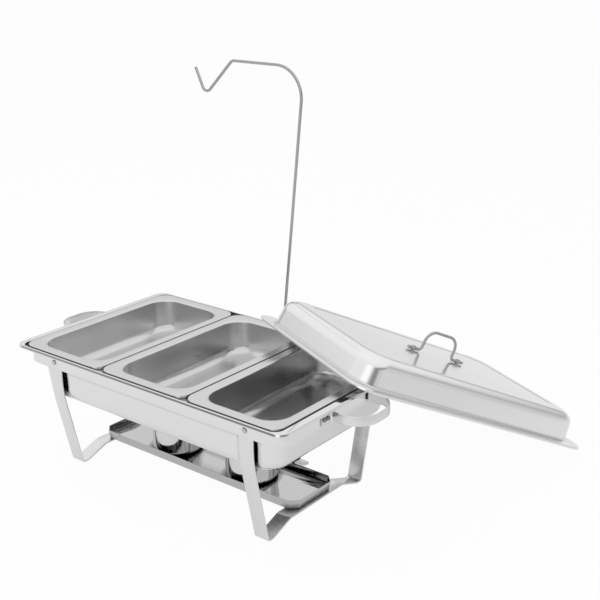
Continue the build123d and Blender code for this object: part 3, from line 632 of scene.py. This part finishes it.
class DISH_OT_frame(Operator):
    """Band round the water pan and the two strap handles"""
    bl_idname = "dish.frame"
    bl_label = "Band and Handles"

    def execute(self, context):
        sizes = context.scene.dish_frame
        low, high = BAND_LOW.z, BAND_HIGH.z
        outer = (BAND_HIGH.x, BAND_HIGH.y, sizes.band_radius)
        inner = grown(outer, -sizes.band_sheet)
        levels = [(*outer, (low + high) / 2), (*outer, high), (*inner, high), (*inner, low), (*outer, low),
                  (*outer, (low + high) / 2)]
        ring = rectangle_rings(rounded(levels, [0.0005] * 4, 3), 14).transpose(1, 0, 2)
        piece("band_strip", [ring], "polished steel", "frame", "frame_band")
        sheet, wide, bend = sizes.strap_sheet, sizes.strap_reach, sizes.strap_corner
        for side, sign in SIDES:
            low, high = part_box(f"handle_{side}")
            near, far = sign * (BAND_HIGH.x + sheet / 2), sign * (max(abs(low.x), abs(high.x)) - sheet / 2)
            points = [(near, high.y), (near, wide), (far, wide), (far, -wide), (near, -wide), (near, -high.y)]
            line = rounded(points, [0.004, bend, bend, 0.004], 16, across=(0, 1))
            section = strip_section(sheet, high.z - low.z, 0.0009)
            grid = shifted(swept(line, section), z=(low.z + high.z) / 2)
            piece(f"handle_{side}_strap", [grid], "strip steel", "frame", f"handle_{side}")
        return {"FINISHED"}


class DISH_OT_legs(Operator):
    """Two leg frames, each one strip bent down, along the feet and up to the tray seat, with their studs"""
    bl_idname = "dish.legs"
    bl_label = "Leg Frames"

    def execute(self, context):
        sizes = context.scene.dish_frame
        sheet, end_radius = sizes.leg_sheet, sizes.leg_width / 2
        top_y, top_z = LEG_HIGH.y - sheet / 2, LEG_HIGH.z
        # top, start of the curve, heel, toe and tray seat of one leg
        half = [(top_y, top_z), (top_y, 0.140), (0.117, sheet / 2), (0.106, sheet / 2), (0.066, 0.01575)]
        points = [(-y, z) for y, z in half] + half[::-1]
        line = rounded(points, [0.2, 0.004, 0.005, 0.014, 0.014, 0.005, 0.004, 0.2], 10, across=(0, 1))
        # extra points near both tops, where the end is round
        drop = end_radius * (1 - np.cos(np.linspace(0, np.pi / 2, 9)))
        start = line[0] - np.outer(drop, (0, 1))
        end = line[-1] - np.outer(drop[::-1], (0, 1))
        line = np.vstack([start, line[1:-1], end])
        from_tip = np.clip((top_z - np.minimum(line[:, 1], top_z)) / end_radius, 0.0, 1.0)
        grid = swept(line, strip_section(sheet, sizes.leg_width, 0.0006), round_end(1 - from_tip))
        for side, sign in SIDES:
            place = sign * LEG_PIVOT.x
            piece(f"{side}_leg_strip", [placed(grid, (place, 0, 0), Y_AXIS, Z_AXIS, X_AXIS)],
                  "strip steel", f"{side}_leg", f"{side}_leg_frame")
            low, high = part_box(f"{side}_tray_stud")
            radius = (high.x - low.x) / 2
            profile = [(0, low.z), (radius, low.z), (radius, high.z), (0, high.z)]
            piece(f"{side}_stud_head", [shifted(turned(profile, [0.0002, 0.0018]), x=place)],
                  "fastener steel", f"{side}_leg", f"{side}_tray_stud")
        return {"FINISHED"}


class DISH_OT_fasteners(Operator):
    """Domed leg rivets and the button-headed bolts of the strap handles"""
    bl_idname = "dish.fasteners"
    bl_label = "Rivets and Bolts"

    def execute(self, context):
        # leg rivet: tail inside the leg, shank through both strips, domed head outside the band
        head, shank, tail = 0.004, 0.0025, LEG_HIGH.y - 0.0039
        tip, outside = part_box("leg_rivets")[1].y, BAND_HIGH.y
        profile = [(0, tail), (head, tail), (head, tail + 0.0008), (shank, tail + 0.0008), (shank, outside),
                   (head, outside), (head, tip), (0, tip)]
        rivet = turned(profile, [0.0003, 0.0002, 0.0001, 0.0001, 0.0001, 0.0014], steps=40)
        rivets = [facing(rivet, (x * LEG_PIVOT.x, 0, LEG_PIVOT.z), (0, y, 0))
                  for x in (-1, 1) for y in (-1, 1)]
        piece("leg_rivet_heads", rivets, "rivet steel", "frame", "leg_rivets")
        # handle bolt: shank from inside the band, button head with a small socket
        head, shank, socket = 0.0037, 0.002, 0.0013
        low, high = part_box("handle_bolts")
        tip, neck, tail = high.x, high.x - 0.0026, BAND_HIGH.x - 0.0056
        profile = [(0, tail), (shank, tail), (shank, neck), (head, neck), (head, tip), (socket, tip),
                   (socket - 0.0002, tip - 0.0009), (0, tip - 0.0009)]
        bolt = turned(profile, [0.0004, 0.0001, 0.0002, 0.0018, 0.0002, 0.0001])
        rows = [sign * offset for sign in (-1, 1) for offset in (0.054, 0.0625)]
        bolts = [facing(bolt, (0, y, (low.z + high.z) / 2), (x, 0, 0)) for x in (-1, 1) for y in rows]
        piece("handle_bolt_heads", bolts, "fastener steel", "frame", "handle_bolts")
        return {"FINISHED"}


class DISH_OT_rod(Operator):
    """Rod that holds the lid up by its handle, and its riveted socket"""
    bl_idname = "dish.rod"
    bl_label = "Lid Rod"

    def execute(self, context):
        sizes = context.scene.dish_frame
        foot, depth = ROD_FOOT.x, ROD_FOOT.y
        points = [(foot, 0.169), (foot, 0.214), (0.0366, 0.6385), (-0.1135, 0.6385), (-0.1745, 0.5765),
                  (-0.196, 0.622)]
        line = rounded(points, [0.06, 0.05, 0.012, 0.0105], 16)
        grid = placed(swept(line, wire_section(sizes.rod)), (0, depth, 0), X_AXIS, Z_AXIS, -Y_AXIS)
        piece("lid_rod_wire", [grid], "wire steel", "rod", "hook_rod")
        # socket: plate on the band, arm behind it and a sleeve at the arm's end
        back, height, outward = BAND_HIGH.y, 0.190, (0, 1, 0)
        plate = block((0.023, 0.010, 0.005), 0, 0.0025, [0.0002, 0.0008], 4, 6)
        arm = block((0.0035, 0.008, 0.0012), 0.001, depth - back - 0.004, [0.0002, 0.0002], 4, 6)
        radius, bore = sizes.sleeve, sizes.rod + 0.0001
        low, high = SOCKET_LOW.z, SOCKET_HIGH.z
        plug = low + 0.003
        profile = [(0, low), (radius, low), (radius, high), (bore, high), (bore, plug), (0, plug)]
        tube = turned(profile, [0.0008, 0.0008, 0.0005, 0.0002], steps=40)
        grids = [facing(part, (foot, back, height), outward) for part in (plate, arm)]
        piece("rod_socket_bracket", grids + [shifted(tube, x=foot, y=depth)], "strip steel", "frame",
              "hook_socket")
        head, shank = 0.0036, 0.002
        profile = [(0, -0.0029), (head, -0.0029), (head, -0.002), (shank, -0.002), (shank, 0.0025),
                   (head, 0.0025), (0.0029, 0.0039), (0, 0.0039)]
        rivet = turned(profile, [0.0004, 0.0002, 0.0001, 0.0001, 0.0001, 0.0007], 5, 32)
        rivets = [facing(rivet, (foot + side * 0.017, back, height), outward) for side in (-1, 1)]
        piece("socket_rivet_heads", rivets, "fastener steel", "frame",
              "hook_socket_rivets")
        return {"FINISHED"}


class DISH_OT_tray(Operator):
    """Fuel tray with flared lips, cut corners and a slot over each stud"""
    bl_idname = "dish.tray"
    bl_label = "Fuel Tray"

    def execute(self, context):
        sizes = context.scene.dish_fuel
        sheet, cut = sizes.tray_sheet, sizes.tray_cut
        low, high = TRAY_LOW.z, TRAY_HIGH.z
        slant = math.tan(math.radians(10))
        flare, inner_flare = (high - low) * slant, (high - low) * slant - sheet * slant
        base_x, base_y = TRAY_HIGH.x - flare, TRAY_HIGH.y - flare
        inner_x, inner_y, inner_cut, wide = base_x - sheet, base_y - sheet, cut - 0.6 * sheet, 0.6 * flare
        levels = [(0, 0, 0, 0, low), (base_x, base_y, cut, 0.001, low),
                  (TRAY_HIGH.x, TRAY_HIGH.y, cut + wide, 0.001, high),
                  (inner_x + inner_flare, inner_y + inner_flare, inner_cut + wide, 0.0008, high),
                  (inner_x, inner_y, inner_cut, 0.0008, low + sheet), (0, 0, 0, 0, low + sheet)]
        shell = cut_rings(rounded(levels, [0.0016, 0.0004, 0.0004, 0.001], 5))
        tray = piece("fuel_tray_sheet", [shell], "tray steel", "tray", "fuel_tray")
        slot = block((0.0055, 0.0045, 0.0045), low - 0.002, high - 0.004, corner_steps=10)
        for _, sign in SIDES:
            mesh = closed(mesh_of("slot", shifted(slot, x=sign * LEG_PIVOT.x)))
            tool = added("slot", mesh)
            cutting = tray.modifiers.new("slot", "BOOLEAN")
            cutting.operation, cutting.object, cutting.solver = "DIFFERENCE", tool, "EXACT"
            context.view_layer.objects.active = tray
            bpy.ops.object.modifier_apply(modifier=cutting.name)
            bpy.data.objects.remove(tool)
            bpy.data.meshes.remove(mesh)
        tray.data.set_sharp_from_angle(angle=SHARP)
        return {"FINISHED"}


class DISH_OT_fuel(Operator):
    """Fuel holders with beaded rims, their turning covers with strap handles, pivots and sleeves"""
    bl_idname = "dish.fuel"
    bl_label = "Fuel Holders"

    def execute(self, context):
        for side, _ in SIDES:
            self.cup(context.scene.dish_fuel, side)
            self.cover(context.scene.dish_fuel, side)
            self.pivot(side)
            self.grip(side)
        return {"FINISHED"}

    def cup(self, sizes, side):
        """A straight cup with a beaded rim."""
        radius, sheet, bead, fillet = sizes.cup, sizes.cup_sheet, sizes.bead, sizes.cup_base
        low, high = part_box(f"fuel_holder_{side}")
        inner, floor = radius - sheet, low.z + sheet
        profile = [(0, low.z), (radius, low.z), (radius, high.z - bead), (radius + bead, high.z - bead),
                   (radius + bead, high.z), (inner, high.z), (inner, floor), (0, floor)]
        cup = turned(profile, [fillet, 0.0003, 0.0006, 0.0007, 0.0003, fillet - sheet], 8, 88)
        piece(f"fuel_cup_{side}", [shifted(cup, x=middle_of(f"fuel_holder_{side}").x)],
              "polished steel", f"{side}_fuel_holder", f"fuel_holder_{side}")

    def cover(self, sizes, side):
        """A disc with a raised boss, and a strap handle whose width falls to nothing at its round end."""
        centre, top = middle_of(f"fuel_holder_{side}").x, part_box(f"fuel_holder_{side}")[1].z
        rim, boss = sizes.cup + 0.0025, sizes.cup - sizes.cup_sheet - 0.0132
        disc = [(0, top), (rim, top), (rim, top + 0.001), (boss, top + 0.001), (boss - 0.0018, top + 0.0035),
                (0, top + 0.0035)]
        cover = shifted(turned(disc, [0.0004, 0.0004, 0.002, 0.002], 8, 88), x=centre)
        tip = sizes.strap_tip * np.sin(np.linspace(0, np.pi / 2, 12))
        line = np.stack([centre + np.append(0.030, 0.105 + tip), np.zeros(13)], axis=1)
        widths = np.append(1.0, round_end(tip / sizes.strap_tip))
        section = strip_section(0.002, 2 * sizes.strap_tip, 0.0006)
        strap = placed(swept(line, section, widths), (0, 0, top + 0.001), X_AXIS, Z_AXIS, Y_AXIS)
        piece(f"fuel_cover_{side}", [cover, strap], "polished steel", f"{side}_fuel_cover",
              f"holder_cover_{side}")

    def pivot(self, side):
        """The rivet that a cover turns on."""
        head, shank = 0.004, 0.002
        corners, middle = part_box(f"cover_pivot_{side}"), middle_of(f"cover_pivot_{side}")
        low, high = (corner.z for corner in corners)
        pin = [(0, low), (head, low), (head, low + 0.0012), (shank, low + 0.0012), (shank, high - 0.0014),
               (head, high - 0.0014), (head - 0.0005, high), (0, high)]
        rivet = turned(pin, [0.0003, 0.0003, 0.0001, 0.0001, 0.0001, 0.0008], 5, 32)
        piece(f"cover_pivot_rivet_{side}", [shifted(rivet, x=middle.x, y=middle.y)],
              "fastener steel", f"{side}_fuel_holder", f"cover_pivot_{side}")

    def grip(self, side):
        """A rounded sleeve with soft ends round a cover's handle."""
        low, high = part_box(f"cover_grip_{side}")
        half = (high - low) / 2
        grip = block((half.y, half.z, 0.0024), -half.x, half.x, [0.001, 0.001])
        piece(f"cover_sleeve_{side}", [placed(grip, (low + high) / 2, Y_AXIS, Z_AXIS, X_AXIS)],
              "sleeve", f"{side}_fuel_cover", f"cover_grip_{side}")


class DISH_OT_plain_nodes(Operator):
    """Finishes of the nuts and washers, which keep their solid shapes"""
    bl_idname = "dish.plain_nodes"
    bl_label = "Nuts and Washers"

    def execute(self, context):
        for solid in frame["nodes"].values():
            if not solid.hide_render:
                solid.data.materials.clear()
                solid.data.materials.append(finish("fastener steel"))
        return {"FINISHED"}


class DISH_OT_stage(Operator):
    """Pale floor, soft studio lights and the camera"""
    bl_idname = "dish.stage"
    bl_label = "Stage"

    def execute(self, context):
        scene = context.scene
        scene.view_settings.view_transform = "Standard"
        self.floor()
        self.studio(scene)
        self.lamps()
        self.camera(scene)
        return {"FINISHED"}

    def floor(self):
        """A flat sheet of pale matt paper, which the camera sees almost white. In mirrors it is half
        white, and darker towards the right."""
        span = np.linspace(-6, 6, 13)
        x, y = np.meshgrid(span, span, indexing="ij")
        mesh = mesh_of("floor", np.stack([y, x, 0 * x - 0.0005], axis=-1))
        material, tree, matt = blank("floor")
        matt.inputs["Base Color"].default_value = (0.82, 0.82, 0.82, 1)
        matt.inputs["Roughness"].default_value = 0.7
        matt.inputs["Specular IOR Level"].default_value = 0.1
        ray = node(tree, "ShaderNodeLightPath").outputs
        place = node(tree, "ShaderNodeTexCoord").outputs["Object"]
        right = node(tree, "ShaderNodeSeparateXYZ", Vector=place).outputs["X"]
        fall = ranged(tree, right, (0.3, 0.9), (0.5, 0.0), "SMOOTHSTEP")
        seen = maths(tree, "MULTIPLY", ray["Is Camera Ray"], 0.96)
        mirrored = maths(tree, "MULTIPLY_ADD", ray["Is Glossy Ray"], fall, seen)
        share = maths(tree, "MULTIPLY_ADD", ray["Is Transmission Ray"], 0.93, mirrored)
        white = node(tree, "ShaderNodeEmission", Color=(1, 1, 1, 1), Strength=1.0)
        tree.links.new(mixed(tree, share, matt, white), tree.nodes["Material Output"].inputs["Surface"])
        mesh.materials.append(material)
        added("floor", mesh)

    def lamps(self):
        """One large soft lamp above, and a weak one from the right; metal doesn't mirror them."""
        lamps = (("key", (-0.9, -0.7, 2.3), 2.8, 26.0), ("fill", (2.0, -0.4, 1.5), 2.0, 7.0))
        for name, place, size, power in lamps:
            lamp = bpy.data.lights.new(name, "AREA")
            lamp.shape, lamp.size, lamp.energy = "SQUARE", size, power
            holder = added(name, lamp)
            holder.location = place
            aim = Vector((0, 0.1, 0.15)) - Vector(place)
            holder.rotation_euler = aim.to_track_quat("-Z", "Y").to_euler()
            holder.visible_glossy = False

    def camera(self, scene):
        """The camera: its place, its turn about Z, its dip below level and its roll."""
        lens = bpy.data.cameras.new("camera")
        lens.lens, lens.sensor_width = 64.337, 36.0
        camera = added("camera", lens)
        camera.location = (1.08249, -1.16502, 0.83838)
        yaw, dip, roll = 0.660365, 0.329911, 0.002775
        tilt = Matrix.Rotation(math.pi / 2 - dip, 3, "X") @ Matrix.Rotation(roll, 3, "Z")
        camera.rotation_euler = (Matrix.Rotation(yaw, 3, "Z") @ tilt).to_euler()
        scene.camera = camera

    def towards(self, tree, place, direction, start, end):
        """How nearly a direction is that direction: its dot product, smoothed from start to end."""
        made = node(tree, "ShaderNodeVectorMath", operation="DOT_PRODUCT")
        tree.links.new(place, made.inputs[0])
        made.inputs[1].default_value = direction
        return ranged(tree, made.outputs["Value"], (start, end), curve="SMOOTHSTEP")

    def room(self, tree, height, dark_from, dark, bright):
        """Grey levels of a room by height, from 0 straight down to 1 straight up: pale up to level, then a
        dark zone, then bright and up to white."""
        ramp = node(tree, "ShaderNodeValToRGB", Fac=height)
        stops = ((0.0, 0.9), (0.49, 0.9), (dark_from, dark), (0.58, dark), (0.68, bright), (1.0, 1.0))
        bar = ramp.color_ramp
        for _ in stops[2:]:
            bar.elements.new(0.5)
        for element, (position, value) in zip(bar.elements, stops):
            element.position = position
            element.color = (value, value, value, 1)
        return ramp.outputs["Color"]

    def studio(self, scene):
        """World: white to the camera. For everything else a pale room, whose brightness follows the height
        of the direction, with a dark zone just above level, deepest at the front, and a soft bright
        panel there."""
        world = bpy.data.worlds.new("studio")
        scene.world = world
        world.use_nodes = True
        tree = world.node_tree
        tree.nodes.clear()
        place = node(tree, "ShaderNodeTexCoord").outputs["Generated"]
        up = node(tree, "ShaderNodeSeparateXYZ", Vector=place).outputs["Z"]
        height = maths(tree, "MULTIPLY_ADD", up, 0.5, 0.5)
        back = self.room(tree, height, 0.53, 0.5, 0.92)
        front = self.room(tree, height, 0.52, 0.25, 0.88)
        room = blended(tree, self.towards(tree, place, (0.35, -0.94, 0.0), -0.1, 0.5), back, front)
        panel = self.towards(tree, place, (0.36, -0.91, 0.20), 0.90, 0.99)
        lit = blended(tree, panel, room, (1.15, 1.15, 1.15, 1))
        ray = node(tree, "ShaderNodeLightPath").outputs
        # matt surfaces get less of the room's light
        strength = maths(tree, "MULTIPLY_ADD", ray["Is Diffuse Ray"], -0.35, 1.0)
        around = node(tree, "ShaderNodeBackground", Color=lit, Strength=strength)
        white = node(tree, "ShaderNodeBackground", Color=(0.98, 0.98, 0.98, 1), Strength=1.0)
        node(tree, "ShaderNodeOutputWorld", Surface=mixed(tree, ray["Is Camera Ray"], around, white))


class DISH_PT_panel(Panel):
    """The pieces of the chafing dish in the order in which they are made"""
    bl_label = "Chafing Dish"
    bl_space_type = "VIEW_3D"
    bl_region_type = "UI"
    bl_category = "Chafing Dish"

    def draw(self, context):
        column = self.layout.column(align=True)
        for step in STEPS:
            column.operator(step.bl_idname)
        for group in GROUPS:
            settings = getattr(context.scene, group)
            box = self.layout.box()
            for key in settings.bl_rna.properties.keys():
                if key not in {"rna_type", "name"}:
                    box.prop(settings, key)


STEPS = (DISH_OT_water_pan, DISH_OT_food_pans, DISH_OT_lid, DISH_OT_lid_handle, DISH_OT_frame, DISH_OT_legs,
         DISH_OT_fasteners, DISH_OT_rod, DISH_OT_tray, DISH_OT_fuel, DISH_OT_plain_nodes, DISH_OT_stage)
GROUPS = {"dish_pans": PanSizes, "dish_lid": LidSizes, "dish_frame": FrameSizes, "dish_fuel": FuelSizes,
          "dish_finishes": Finishes}


def register():
    """Registers the settings, the operators and the panel."""
    for made in (*GROUPS.values(), *STEPS, DISH_PT_panel):
        bpy.utils.register_class(made)
    for name, group in GROUPS.items():
        setattr(bpy.types.Scene, name, PointerProperty(type=group))


def unregister():
    """Takes the panel, the operators and the settings away again."""
    for name in GROUPS:
        delattr(bpy.types.Scene, name)
    for made in (DISH_PT_panel, *reversed(STEPS), *GROUPS.values()):
        bpy.utils.unregister_class(made)


def main():
    """Makes every piece and the stage."""
    register()
    for step in STEPS:
        group, name = step.bl_idname.split(".")
        getattr(getattr(bpy.ops, group), name)()
    bpy.context.view_layer.update()


if __name__ == "__main__":
    main()
